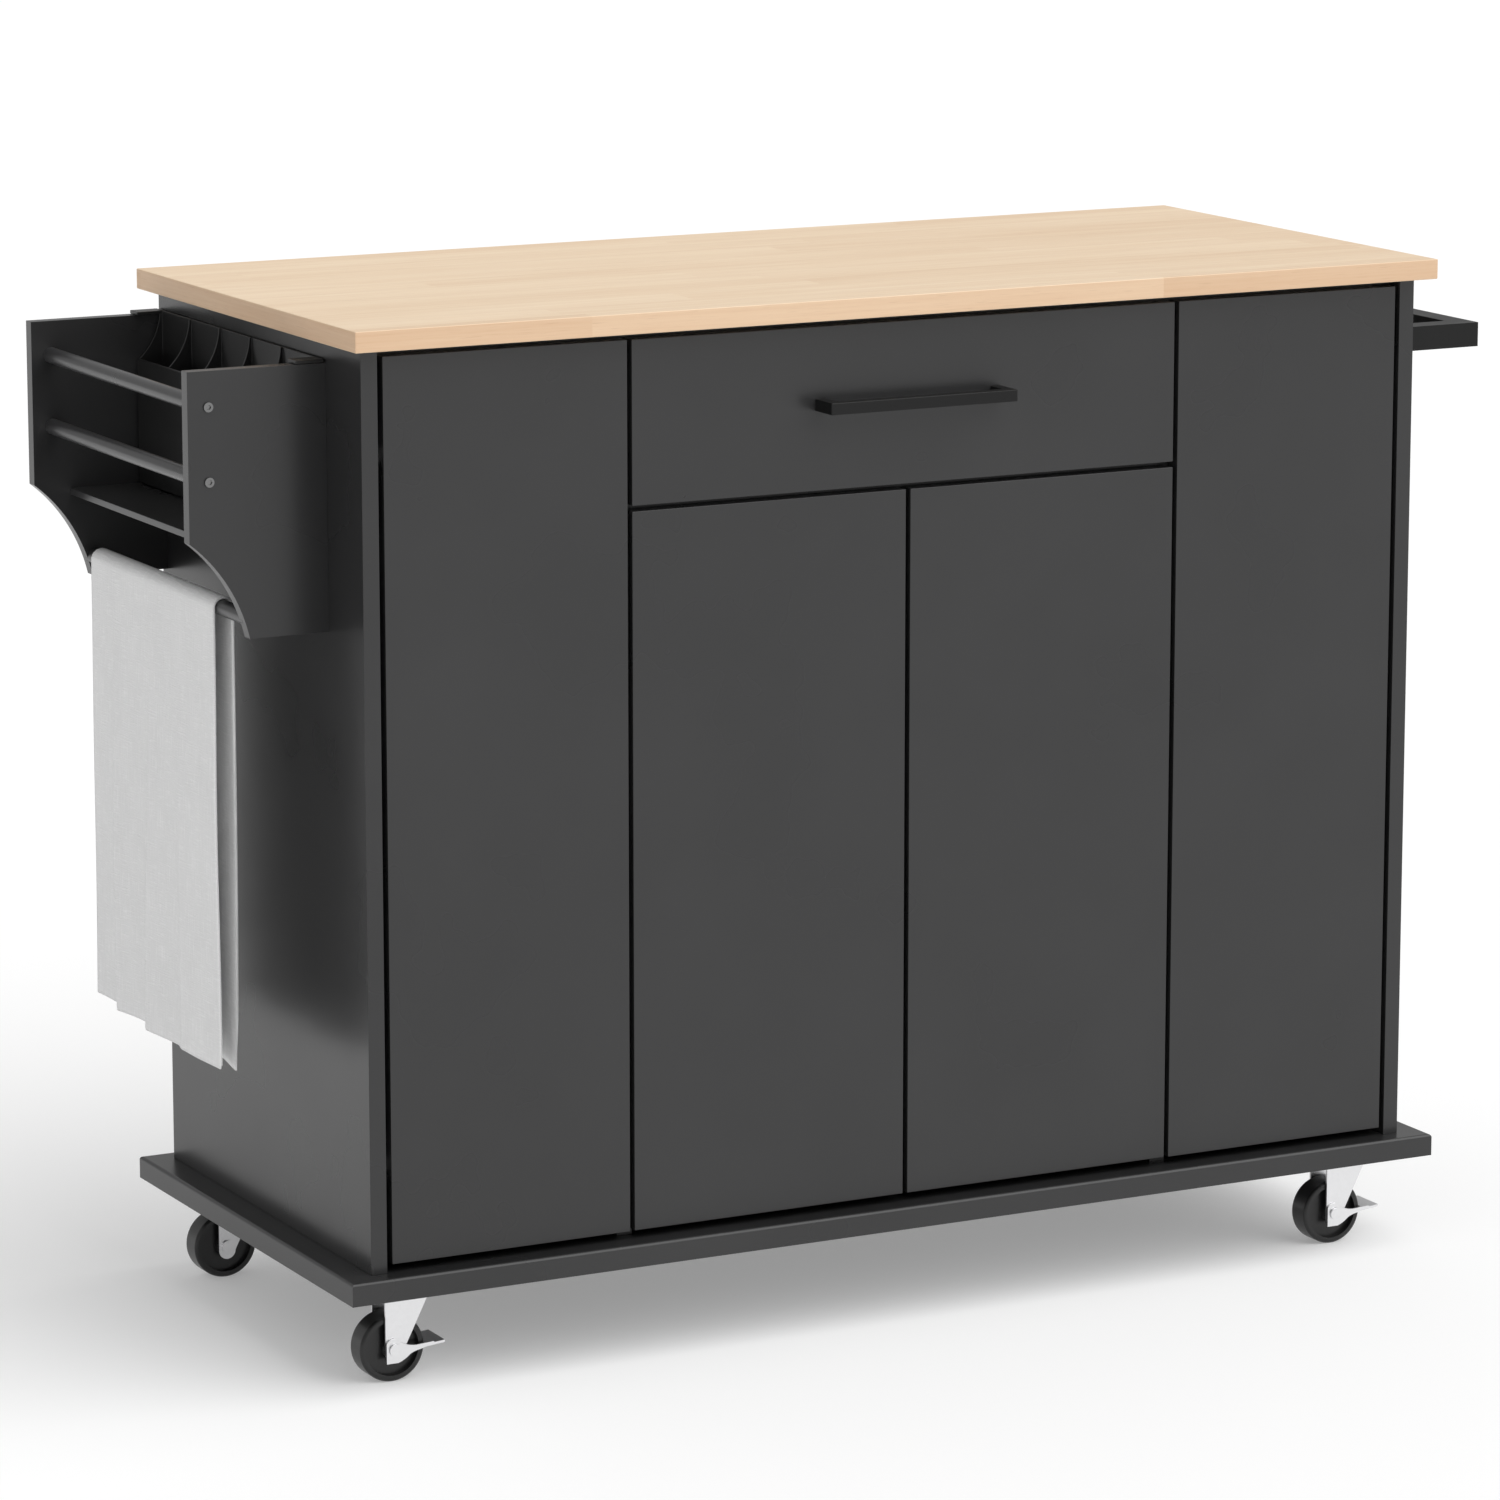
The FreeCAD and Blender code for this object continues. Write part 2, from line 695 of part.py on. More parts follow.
def make_drawer_pull():
    """A square bar with two short legs, bent from one length."""
    body = new_body("drawer_pull", z=DRAWER_BOTTOM + S.pull_height - S.pull_section / 2)
    half = S.pull_length / 2
    face = FRONT - S.pull_reach
    leg = half - S.pull_section
    back = face + S.pull_section
    points = [(-half, FRONT), (-half, face), (half, face), (half, FRONT)]
    points += [(leg, FRONT), (leg, back), (-leg, back), (-leg, FRONT)]
    bar = pad(body, outline(new_sketch(body, "pull_outline", "XY_Plane"), points), S.pull_section)
    front = value_of(FRONT)
    soften(body, bar, S.pull_round, lambda edge: any(abs(v.Y - front) > 0.01 for v in edge.Vertexes))
    return keep(body)


def make_slides():
    """Drawer slides: channels on the partitions and the runners that ride in them."""
    rails = []
    runners = []
    start = DOOR_BACK + S.drawer_length - S.slide_length
    for side, name in ((-1, "left"), (1, "right")):
        low = along_x(PARTITION_IN * side, -side, S.slide_space - S.slide_play)
        span = (low, low + S.slide_space - S.slide_play)
        rise = (SLIDE_Z - S.slide_height / 2, SLIDE_Z + S.slide_height / 2)
        blank = box(f"{name}_rail_blank", span, (start, BOX_BACK), rise, inner=True)
        low = along_x((PARTITION_IN - S.slide_wall) * side, -side, S.slide_space)
        span = (low, low + S.slide_space)
        rise = (rise[0] + S.slide_wall, rise[1] - S.slide_wall)
        hollow = box(f"{name}_rail_hollow", span, (start, BOX_BACK), rise, inner=True)
        rail = doc.addObject("Part::Cut", f"{name}_rail")
        rail.Base = blank
        rail.Tool = hollow
        rails.append(place(rail, inner=True))
        length = S.slide_space - S.slide_wall - S.slide_play
        low = along_x(DRAWER_X * side, side, length)
        rise = (SLIDE_Z - S.runner_height / 2, SLIDE_Z + S.runner_height / 2)
        runners.append(box(f"{name}_runner", (low, low + length), (start, BOX_BACK), rise, inner=True))
    keep(group("drawer_slide_rails", rails))
    keep(group("drawer_slide_runners", runners))


# ---------------------------------------------------------------- rack on the left end
RACK_TOP = UNDER_TOP - S.rack_drop
RACK_BOTTOM = RACK_TOP - S.rack_height
RACK_FACE = REAR - S.rack_length
RACK_FRONT = RACK_FACE + S.rack_board
RACK_REAR = REAR - S.rack_board
RACK_SHELF_TOP = RACK_TOP - S.rack_shelf_drop
BAR_X = -HALF_WIDTH - S.towel_bar_reach
BAR_Z = RACK_BOTTOM + S.towel_bar_rise
RAILS = {
    "upper_rail": (-HALF_WIDTH - S.rail_reach, RACK_TOP - S.upper_rail_drop),
    "lower_rail": (-HALF_WIDTH - S.rail_reach, RACK_TOP - S.lower_rail_drop),
}


def make_rack_panels():
    """The rack's two side panels, each with a hollow curve cut from its outer lower corner.

    The rear panel is flush with the cabinet's back. Screw holes go right through the panels, and
    the towel bar has a blind socket in each inner face.
    """
    tip = -HALF_WIDTH - S.rack_foot
    outer = -HALF_WIDTH - S.rack_reach
    shoulder = RACK_TOP - S.rack_shoulder
    points = [(-HALF_WIDTH, RACK_BOTTOM), (-HALF_WIDTH, RACK_TOP), (outer, RACK_TOP)]
    points += [(outer, shoulder), (tip, RACK_BOTTOM)]
    panels = {
        "rack_front_panel": (RACK_FRONT, 0),
        "rack_back_panel": (REAR, S.rack_board - S.bar_seat),
    }
    for name, (rear, socket_start) in panels.items():
        body = new_body(name, y=rear)
        sketch = new_sketch(body, f"{name}_outline", "XZ_Plane")
        pad(body, outline(sketch, points, {3: (S.rack_curve, -1)}), S.rack_board)
        holes = new_sketch(body, f"{name}_holes", "XZ_Plane")
        for x, z in RAILS.values():
            circle(holes, x, z, S.screw_radius + S.screw_play)
        pocket(body, holes, S.rack_board, backward=True)
        socket = new_sketch(body, f"{name}_socket", "XZ_Plane", socket_start)
        circle(socket, BAR_X, BAR_Z, S.rail_radius + S.bar_play)
        pocket(body, socket, S.bar_seat, backward=True)
        keep(body)


def make_rack_rods():
    """Two rails and the shelf between the side panels, and the towel bar let into them."""
    length = RACK_REAR - RACK_FRONT
    radius = S.screw_radius + S.screw_play
    for name, (x, z) in RAILS.items():
        blank = rod(f"{name}_blank", S.rail_radius, length, x, RACK_FRONT, z, "y")
        starts = (RACK_FRONT, RACK_REAR - S.screw_bite)
        holes = [rod(f"{name}_hole_{n}", radius, S.screw_bite, x, y, z, "y") for n, y in enumerate(starts)]
        keep(drilled(name, blank, holes))
    start = RACK_FRONT - S.bar_seat
    keep(rod("towel_bar", S.rail_radius, length + S.bar_seat * 2, BAR_X, start, BAR_Z, "y", inner=False))
    span = (-HALF_WIDTH - S.rack_shelf_reach, -HALF_WIDTH)
    board("rack_shelf", span, (RACK_FRONT, RACK_REAR), (RACK_SHELF_TOP - S.rack_shelf_thick, RACK_SHELF_TOP))


def hex_socket(name, x, y, z):
    """A six-sided recess that runs from a point along +Y."""
    item = doc.addObject("Part::Prism", name)
    item.Polygon = 6
    bind(item, "Circumradius", S.socket_radius)
    bind(item, "Height", S.socket_depth)
    return place(item, x, y, z, ALONG["y"], inner=True)


def make_rail_screws():
    """Socket screws through the rack's side panels into the ends of the two rails."""
    screws = []
    length = S.rack_board + S.screw_bite
    ends = {
        "front": (RACK_FACE - S.head_thick, RACK_FACE, RACK_FACE - S.head_thick),
        "rear": (REAR, REAR - length, REAR + S.head_thick - S.socket_depth),
    }
    for name, (x, z) in RAILS.items():
        for end, (head_y, shank_y, socket_y) in ends.items():
            head = rod(f"{name}_{end}_head", S.head_radius, S.head_thick, x, head_y, z, "y")
            shank = rod(f"{name}_{end}_shank", S.screw_radius, length, x, shank_y, z, "y")
            screw = doc.addObject("Part::Cut", f"{name}_{end}_screw")
            screw.Base = group(f"{name}_{end}_blank", [head, shank], "Part::MultiFuse", inner=True)
            screw.Tool = hex_socket(f"{name}_{end}_socket", x, socket_y, z)
            screws.append(place(screw, inner=True))
    return keep(group("rail_screws", screws))


def make_bin():
    """The lift-out bin: a trough with a low outer wall, five pockets and an ear at each end."""
    back_x = -HALF_WIDTH - S.bin_gap
    front_x = back_x - S.bin_width
    top = RACK_TOP + S.ear_play + S.ear_thick
    bottom = RACK_SHELF_TOP + S.bin_foot_play
    far = RACK_REAR - S.bin_play
    length = far - RACK_FRONT - S.bin_play
    body = new_body("spice_bin", y=far)
    points = [(front_x, bottom), (back_x, bottom), (back_x, top), (back_x - S.bin_lip_width, top)]
    points += [(front_x, top - S.bin_front_drop)]
    hollow_edge = {3: (S.bin_curve, -1)}
    pad(body, outline(new_sketch(body, "bin_profile", "XZ_Plane"), points, hollow_edge), length)
    pitch = (length - S.bin_wall) / S.bin_pockets
    opening = new_sketch(body, "bin_pocket", "XY_Plane", bottom + S.bin_floor)
    span = (front_x + S.bin_wall, back_x - S.bin_wall)
    rectangle(opening, span, (-pitch, -S.bin_wall))
    hollow = pocket(body, opening, top - bottom, backward=True)
    row = body.newObject("PartDesign::LinearPattern", "bin_pockets")
    row.Originals = [hollow]
    row.Direction = (opening, ["V_Axis"])
    row.Reversed = True
    bind(row, "Length", pitch * (S.bin_pockets - 1))
    row.Occurrences = int(SIZES["bin_pockets"])
    body.Tip = row
    ears = new_sketch(body, "bin_ears", "XY_Plane", top - S.ear_thick)
    reach = S.bin_play + S.rack_board
    rectangle(ears, (front_x, back_x), (-S.bin_wall, reach))
    rectangle(ears, (front_x, back_x), (-length - reach, -length + S.bin_wall))
    pad(body, ears, S.ear_thick)
    return keep(body)


def make_towel():
    """A folded towel over its bar, as a plain hanging U."""
    near = S.rail_radius + S.towel_play
    far = near + S.towel_thick
    hem = BAR_Z - S.towel_drop
    rear = RACK_FRONT + S.towel_inset + S.towel_width
    body = new_body("towel", y=rear)
    points = [(BAR_X - far, hem), (BAR_X - near, hem), (BAR_X - near, BAR_Z), (BAR_X + near, BAR_Z)]
    points += [(BAR_X + near, hem), (BAR_X + far, hem), (BAR_X + far, BAR_Z), (BAR_X - far, BAR_Z)]
    sketch = new_sketch(body, "towel_profile", "XZ_Plane")
    spots = outline_with_half_rounds(sketch, points, near, far)
    pad(body, spots, S.towel_width)
    return keep(body)


def outline_with_half_rounds(sketch, points, near, far):
    """The towel's outline: straight layers joined over the bar by two half circles."""
    crown = BAR_Z + near
    peak = BAR_Z + far
    path = points[:3] + [(BAR_X, crown)] + points[3:7] + [(BAR_X, peak)] + points[7:]
    return outline(sketch, path, {2: (near, -1), 3: (near, -1), 7: (far, 1), 8: (far, 1)})


# ---------------------------------------------------------------- push handle on the right end
def make_push_handle():
    """A square bar held off the right end by two arms."""
    top = UNDER_TOP - S.handle_drop
    rise = (top - S.handle_section, top)
    outer = HALF_WIDTH + S.handle_reach
    inner = outer - S.handle_section
    front = FRONT + S.handle_inset
    rear = REAR - S.handle_inset
    board("push_handle_bar", (inner, outer), (front, rear), rise)
    board("push_handle_front_arm", (HALF_WIDTH, inner), (front, front + S.handle_section), rise)
    board("push_handle_rear_arm", (HALF_WIDTH, inner), (rear - S.handle_section, rear), rise)


# ---------------------------------------------------------------- casters
PLATE_BOTTOM = S.caster_height - S.plate_thick
RACE_BOTTOM = PLATE_BOTTOM - S.race_height
FORK_TOP = RACE_BOTTOM - S.swivel_play
FORK_CROWN = FORK_TOP - S.fork_thick
FORK_IN = S.wheel_width / 2 + S.wheel_play
FORK_OUT = FORK_IN + S.fork_thick
HOLE_RADIUS = S.axle_radius + S.axle_play


def make_caster_plates():
    """Top plates with their ball races and kingpins, one solid to each caster."""
    plates = []
    half_x = S.plate_length / 2
    half_y = S.plate_width / 2
    for name, (side_x, side_y) in CASTERS.items():
        x = CASTER_X * side_x
        y = CASTER_Y * side_y
        rise = (PLATE_BOTTOM, S.caster_height)
        plate = box(f"{name}_plate", (x - half_x, x + half_x), (y - half_y, y + half_y), rise, inner=True)
        race = rod(f"{name}_race", S.race_radius, S.race_height, x, y, RACE_BOTTOM, "z")
        pin_bottom = FORK_CROWN - S.swivel_play - S.kingpin_head_thick
        pin = rod(f"{name}_kingpin", S.kingpin_radius, PLATE_BOTTOM - pin_bottom, x, y, pin_bottom, "z")
        head = rod(f"{name}_kingpin_head", S.kingpin_head, S.kingpin_head_thick, x, y, pin_bottom, "z")
        plates.append(group(f"{name}_plate_solid", [plate, race, pin, head], "Part::MultiFuse", inner=True))
    radius = S.screw_radius + S.screw_play
    spots = caster_screw_spots()
    holes = [
        rod(f"plate_hole_{n}", radius, S.plate_thick, x, y, PLATE_BOTTOM, "z")
        for n, (x, y) in enumerate(spots)
    ]
    return keep(drilled("caster_plates", group("caster_plate_blanks", plates, inner=True), holes))


def make_caster_screws():
    """Pan-head screws that hold the caster plates to the base board."""
    screws = []
    for number, (x, y) in enumerate(caster_screw_spots()):
        bottom = PLATE_BOTTOM - S.plate_head_thick
        head = rod(f"caster_head_{number}", S.plate_head_radius, S.plate_head_thick, x, y, bottom, "z")
        length = S.plate_thick + S.plate_screw_bite
        shank = rod(f"caster_shank_{number}", S.screw_radius, length, x, y, PLATE_BOTTOM, "z")
        screws.append(group(f"caster_screw_{number}", [head, shank], "Part::MultiFuse", inner=True))
    return keep(group("caster_screws", screws))


def make_fork(name, x, y, braked):
    """A bent fork that turns on the kingpin, with the axle riveted through its cheeks."""
    body = new_body(f"{name}_fork_frame", x, y + FORK_OUT, S.wheel_radius, inner=True)
    top = FORK_TOP - S.wheel_radius
    ankle = S.fork_back - S.fork_foot
    points = [(-S.fork_back, top), (-S.fork_back, ankle), (0, -S.fork_foot), (S.fork_back, ankle)]
    points += [(S.fork_front, top)]
    rounds = {1: (S.fork_back, 1), 2: (S.fork_back, 1)}
    pad(body, outline(new_sketch(body, f"{name}_cheek", "XZ_Plane"), points, rounds), FORK_OUT * 2)
    slot = new_sketch(body, f"{name}_slot", "YZ_Plane", -S.fork_back)
    rectangle(slot, (-FORK_OUT - FORK_IN, FORK_IN - FORK_OUT), (-S.fork_foot * 2, top - S.fork_thick))
    pocket(body, slot, S.fork_back + S.fork_front, backward=True)
    pivot = new_sketch(body, f"{name}_pivot_hole", "XY_Plane")
    circle(pivot, S.trail, -FORK_OUT, S.kingpin_radius + S.swivel_play)
    pocket(body, pivot, top, backward=True)
    bore = new_sketch(body, f"{name}_axle_hole", "XZ_Plane")
    circle(bore, 0, 0, HOLE_RADIUS)
    pocket(body, bore, FORK_OUT * 2, backward=True)
    end = FORK_OUT + S.axle_play + ((S.lever_thick + S.swivel_play * 2) if braked else 0)
    shank = rod(f"{name}_axle_shank", S.axle_radius, end * 2, x, y - end, S.wheel_radius, "y")
    heads = [
        rod(f"{name}_axle_head_{n}", S.axle_head, S.axle_head_thick, x, y + start, S.wheel_radius, "y")
        for n, start in enumerate((-end - S.axle_head_thick, end))
    ]
    axle = group(f"{name}_axle", [shank] + heads, "Part::MultiFuse", inner=True)
    return keep(group(f"{name}_fork", [body, axle]))


def make_wheel(name, x, y):
    """A moulded wheel: round-shouldered tread, deep rim, thin web and hub, turned about its axle."""
    body = new_body(f"{name}_wheel", x, y, S.wheel_radius)
    half = S.wheel_width / 2
    rim = S.wheel_radius - S.rim_depth
    web = S.web_width / 2
    shoulder = S.wheel_radius - S.wheel_round
    tread = half - S.wheel_round
    points = [(HOLE_RADIUS, -half), (S.hub_radius, -half), (S.hub_radius, -web), (rim, -web)]
    points += [(rim, -half), (shoulder, -half), (S.wheel_radius, -tread), (S.wheel_radius, tread)]
    points += [(shoulder, half), (rim, half), (rim, web), (S.hub_radius, web), (S.hub_radius, half)]
    points += [(HOLE_RADIUS, half)]
    sketch = new_sketch(body, f"{name}_wheel_section", "XY_Plane")
    outline(sketch, points, {5: (S.wheel_round, 1), 7: (S.wheel_round, 1)})
    turned = body.newObject("PartDesign::Revolution", f"{name}_wheel_turned")
    turned.Profile = sketch
    turned.ReferenceAxis = (sketch, ["V_Axis"])
    turned.Angle = 360
    return keep(body)


def make_lever(name, x, y):
    """A brake lever: two cheeks on the axle's ends, joined by a foot pedal."""
    body = new_body(f"{name}_brake_lever", x, y, S.wheel_radius)
    start = S.wheel_radius + S.pedal_play
    neck = start - S.lever_neck_length
    tip = start + S.pedal_grip
    reach = start + S.pedal_length
    top = S.lever_tip_rise
    half = S.lever_neck / 2
    points = [(0, S.lever_boss), (-S.lever_back, S.lever_boss_side), (-S.lever_back, -S.lever_foot)]
    points += [(S.lever_heel, -S.lever_foot), (S.lever_calf, -S.lever_shin), (neck, -half)]
    points += [(tip, top - S.pedal_thick), (tip, top), (neck, half)]
    rounds = {0: (S.lever_boss, 1), 3: (S.lever_curve, 1), 4: (S.lever_curve, -1), 8: (S.lever_curve, -1)}
    gap = FORK_OUT + S.swivel_play
    cheek = new_sketch(body, f"{name}_lever_cheek", "XZ_Plane", gap)
    outline(cheek, points, rounds)
    circle(cheek, 0, 0, HOLE_RADIUS)
    plate = pad(body, cheek, S.lever_thick)
    pair = body.newObject("PartDesign::Mirrored", f"{name}_lever_pair")
    pair.Originals = [plate]
    pair.MirrorPlane = (next(p for p in body.Origin.OriginFeatures if p.Role == "XZ_Plane"), [""])
    body.Tip = pair
    doc.recompute()
    edge = gap + S.lever_thick
    pedal = new_sketch(body, f"{name}_pedal", "XZ_Plane", -edge)
    sole = top - S.pedal_thick
    slope = [(start, sole - S.pedal_drop), (reach, sole), (reach, top)]
    slope += [(start, top - S.pedal_drop)]
    pad(body, outline(pedal, slope), edge * 2)
    return keep(body)


def make_casters():
    """Four trailing casters; the front pair has brake levers."""
    for name, (side_x, side_y) in CASTERS.items():
        x = CASTER_X * side_x - S.trail
        y = CASTER_Y * side_y
        braked = side_y < 0
        make_fork(name, x, y, braked)
        make_wheel(name, x, y)
        if braked:
            make_lever(name, x, y)


# ---------------------------------------------------------------- build, check and write
make_worktop()
make_base_board()
make_uprights()
make_carcass()
make_shelves()
make_shelf_pins()
make_doors()
make_hinge_arms()
make_latches()
make_drawer()
make_drawer_pull()
make_slides()
make_rack_panels()
make_rack_rods()
make_rail_screws()
make_bin()
make_towel()
make_push_handle()
make_caster_plates()
make_caster_screws()
make_casters()
doc.recompute()

faults = [item.Name for item in doc.Objects if {"Invalid", "Error"} & set(item.State)]
faults += [item.Label for item in pieces if item.Shape.isNull() or not item.Shape.isValid()]
if faults:
    raise RuntimeError(f"failed objects: {faults}")
os.makedirs("parts", exist_ok=True)
for item in pieces:
    item.Shape.exportStep(f"parts/{item.Label}.step")
    bounds = item.Shape.BoundBox
    print(f"{item.Label}: {bounds.XLength:.1f} x {bounds.YLength:.1f} x {bounds.ZLength:.1f}")
print(len(pieces), "pieces")
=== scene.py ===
"""A rolling kitchen island: wooden worktop, charcoal cabinet, end rack with bin and towel, casters.

Lengths are metres in the part's own frame: X along the worktop, the front towards -Y, Z up from
the floor.
"""
import json
import math

import bmesh
import bpy
import numpy as np
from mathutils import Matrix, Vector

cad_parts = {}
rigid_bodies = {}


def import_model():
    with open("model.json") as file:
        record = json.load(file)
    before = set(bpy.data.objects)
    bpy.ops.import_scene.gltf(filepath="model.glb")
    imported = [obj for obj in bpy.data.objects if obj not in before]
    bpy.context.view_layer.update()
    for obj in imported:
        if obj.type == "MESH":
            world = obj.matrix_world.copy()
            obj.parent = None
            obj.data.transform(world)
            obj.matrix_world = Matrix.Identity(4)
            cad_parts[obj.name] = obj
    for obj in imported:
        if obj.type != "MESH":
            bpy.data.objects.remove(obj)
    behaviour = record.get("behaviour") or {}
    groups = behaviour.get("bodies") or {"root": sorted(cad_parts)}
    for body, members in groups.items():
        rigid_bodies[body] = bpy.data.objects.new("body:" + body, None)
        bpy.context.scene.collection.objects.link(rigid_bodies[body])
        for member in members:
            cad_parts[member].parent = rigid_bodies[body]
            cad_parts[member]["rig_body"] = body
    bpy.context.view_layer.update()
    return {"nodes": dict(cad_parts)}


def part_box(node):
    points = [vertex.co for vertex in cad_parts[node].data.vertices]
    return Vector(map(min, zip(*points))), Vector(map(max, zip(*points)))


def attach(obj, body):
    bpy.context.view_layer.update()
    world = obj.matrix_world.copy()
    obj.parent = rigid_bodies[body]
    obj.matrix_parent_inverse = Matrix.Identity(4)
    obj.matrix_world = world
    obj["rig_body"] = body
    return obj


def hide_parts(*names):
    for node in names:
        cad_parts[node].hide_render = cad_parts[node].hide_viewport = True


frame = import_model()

# ---- Worktop ---------------------------------------------------------------------------------
# A slab of pale rubberwood staves, glued edge to edge along the length with butt joints set at
# random, sanded flat and oiled to a satin. The ends are lipped, so their grain runs sideways.
# The edges are painted a little darker and warmer than the top: painted shade.


class Finish:
    """A finish under construction: one Principled shader and the patterns wired into it."""

    def __init__(self, name, colour, roughness, **constants):
        self.material = bpy.data.materials.new(name)
        self.material.use_nodes = True
        self.nodes = self.material.node_tree.nodes
        self.links = self.material.node_tree.links
        self.shader = self.nodes["Principled BSDF"]
        self.wire(self.shader, {"Base Color": (*colour, 1), "Roughness": roughness, **constants})
        self.place = self.add("ShaderNodeTexCoord")
        self.where = self.place.outputs["Object"]

    def wire(self, node, values):
        """Give a node's inputs their values: a socket is linked, anything else is set."""
        for key, value in values.items():
            if isinstance(value, bpy.types.NodeSocket):
                self.links.new(value, node.inputs[key])
            else:
                node.inputs[key].default_value = value
        return node

    def add(self, kind, values=None, **settings):
        """A new node with its settings and inputs."""
        node = self.nodes.new(kind)
        for key, value in settings.items():
            setattr(node, key, value)
        return self.wire(node, values or {})

    def sum(self, operation, *inputs):
        """A Math node's result."""
        node = self.add("ShaderNodeMath", dict(enumerate(inputs)), operation=operation)
        return node.outputs[0]

    def noise(self, stretch, detail=2.0, vector=None, distortion=0.0):
        """Noise with its own number of waves to the metre along each axis."""
        source = vector or self.where
        scaled = self.add("ShaderNodeMapping", {"Vector": source, "Scale": stretch})
        values = {"Vector": scaled.outputs[0], "Scale": 1.0, "Detail": detail}
        values["Distortion"] = distortion
        return self.add("ShaderNodeTexNoise", values).outputs[0]

    def fit(self, value, low, high, new_low=0.0, new_high=1.0):
        """The value with low..high moved to new_low..new_high, clamped."""
        values = {0: value, 1: low, 2: high, 3: new_low, 4: new_high}
        return self.add("ShaderNodeMapRange", values).outputs[0]

    def blend(self, share, first, second):
        """A colour between two colours."""
        colours = [c if isinstance(c, bpy.types.NodeSocket) else (*c, 1) for c in (first, second)]
        values = {0: share, 6: colours[0], 7: colours[1]}
        return self.add("ShaderNodeMix", values, data_type="RGBA").outputs[2]

    def colour(self, socket):
        """Paint the surface with a pattern."""
        self.links.new(socket, self.shader.inputs["Base Color"])

    def roughness(self, socket):
        """Let a pattern set the gloss."""
        self.links.new(socket, self.shader.inputs["Roughness"])

    def relief(self, height, depth):
        """Raise the surface by a pattern, depth metres from lowest to highest."""
        values = {"Height": height, "Distance": depth, "Strength": 1.0}
        bump = self.add("ShaderNodeBump", values)
        self.links.new(bump.outputs[0], self.shader.inputs["Normal"])


def dress(finish, *names):
    """Give CAD pieces a finish."""
    for name in names:
        piece = frame["nodes"][name]
        piece.data.materials.clear()
        piece.data.materials.append(finish.material)


STAVE_WIDTH = 0.0437
STAVE_LENGTH = 0.56

oiled = Finish("oiled_staves", (0.8, 0.62, 0.45), 0.5)
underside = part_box("worktop")[0].z
facing = oiled.add("ShaderNodeSeparateXYZ", {0: oiled.place.outputs["Normal"]})
at_end = oiled.sum("GREATER_THAN", oiled.sum("ABSOLUTE", facing.outputs[0]), 0.7)
spot = oiled.add("ShaderNodeSeparateXYZ", {0: oiled.where}).outputs
above = oiled.sum("SUBTRACT", spot[2], underside - 0.01)
lipping = oiled.add("ShaderNodeCombineXYZ", {0: spot[1], 1: above, 2: 0.0})
either = {0: at_end, 4: oiled.where, 5: lipping.outputs[0]}
board = oiled.add("ShaderNodeMix", either, data_type="VECTOR").outputs[1]
along, across, _ = oiled.add("ShaderNodeSeparateXYZ", {0: board}).outputs
row = oiled.sum("DIVIDE", across, STAVE_WIDTH)
stave = oiled.sum("FLOOR", row)
stagger = oiled.add("ShaderNodeTexWhiteNoise", {"W": stave}, noise_dimensions="1D").outputs[0]
run = oiled.sum("ADD", oiled.sum("DIVIDE", along, STAVE_LENGTH), stagger)
block = oiled.add("ShaderNodeCombineXYZ", {0: stave, 1: oiled.sum("FLOOR", run), 2: 0.0}).outputs[0]
chance = oiled.add("ShaderNodeTexWhiteNoise", {"Vector": block}, noise_dimensions="3D").outputs
log = oiled.add("ShaderNodeVectorMath", {0: chance[1], 1: (9.0, 9.0, 9.0)}, operation="MULTIPLY")
own_log = {0: board, 1: log.outputs[0]}
grained = oiled.add("ShaderNodeVectorMath", own_log, operation="ADD").outputs[0]
figure = oiled.noise((2.2, 34.0, 34.0), 3.0, grained, 0.6)
fibre = oiled.noise((9.0, 420.0, 420.0), 3.0, grained)
pores = oiled.noise((42.0, 1300.0, 1300.0), 1.0, grained)
tone = oiled.sum("MULTIPLY", chance[0], 0.34)
tone = oiled.sum("ADD", tone, oiled.sum("MULTIPLY", oiled.fit(figure, 0.32, 0.68), 0.40))
tone = oiled.sum("ADD", tone, oiled.sum("MULTIPLY", oiled.fit(fibre, 0.3, 0.7), 0.26))
wood = oiled.blend(tone, (0.92, 0.745, 0.54), (0.765, 0.55, 0.36))
wood = oiled.blend(oiled.fit(pores, 0.62, 0.8, 0.0, 0.35), wood, (0.5, 0.32, 0.19))
from_joint = oiled.sum("ABSOLUTE", oiled.sum("SUBTRACT", oiled.sum("FRACT", row), 0.5))
glue = oiled.fit(from_joint, 0.488, 0.498, 0.0, 0.22)
wood = oiled.blend(glue, wood, (0.5, 0.33, 0.2))
# Painted shade: faces that face neither up nor down are multiplied darker and warmer than the top.
edge_shade_mask = oiled.sum("LESS_THAN", oiled.sum("ABSOLUTE", facing.outputs[2]), 0.5)
painted_edge_shade = {0: edge_shade_mask, 6: wood, 7: (0.86, 0.78, 0.73, 1.0)}
wood = oiled.add("ShaderNodeMix", painted_edge_shade, data_type="RGBA", blend_type="MULTIPLY").outputs[2]
oiled.colour(wood)
oiled.roughness(oiled.fit(fibre, 0.25, 0.75, 0.44, 0.58))
oiled.relief(oiled.sum("ADD", fibre, oiled.fit(pores, 0.6, 0.8, 0.0, -1.0)), 0.00003)
dress(oiled, "worktop")

# ---- Cabinet boards --------------------------------------------------------------------------
# Fibreboard sprayed charcoal: base board, side panels, partitions, back, shelves and stretchers.
# The satin paint has a faint orange peel, and sawn edges are eased with sandpaper.


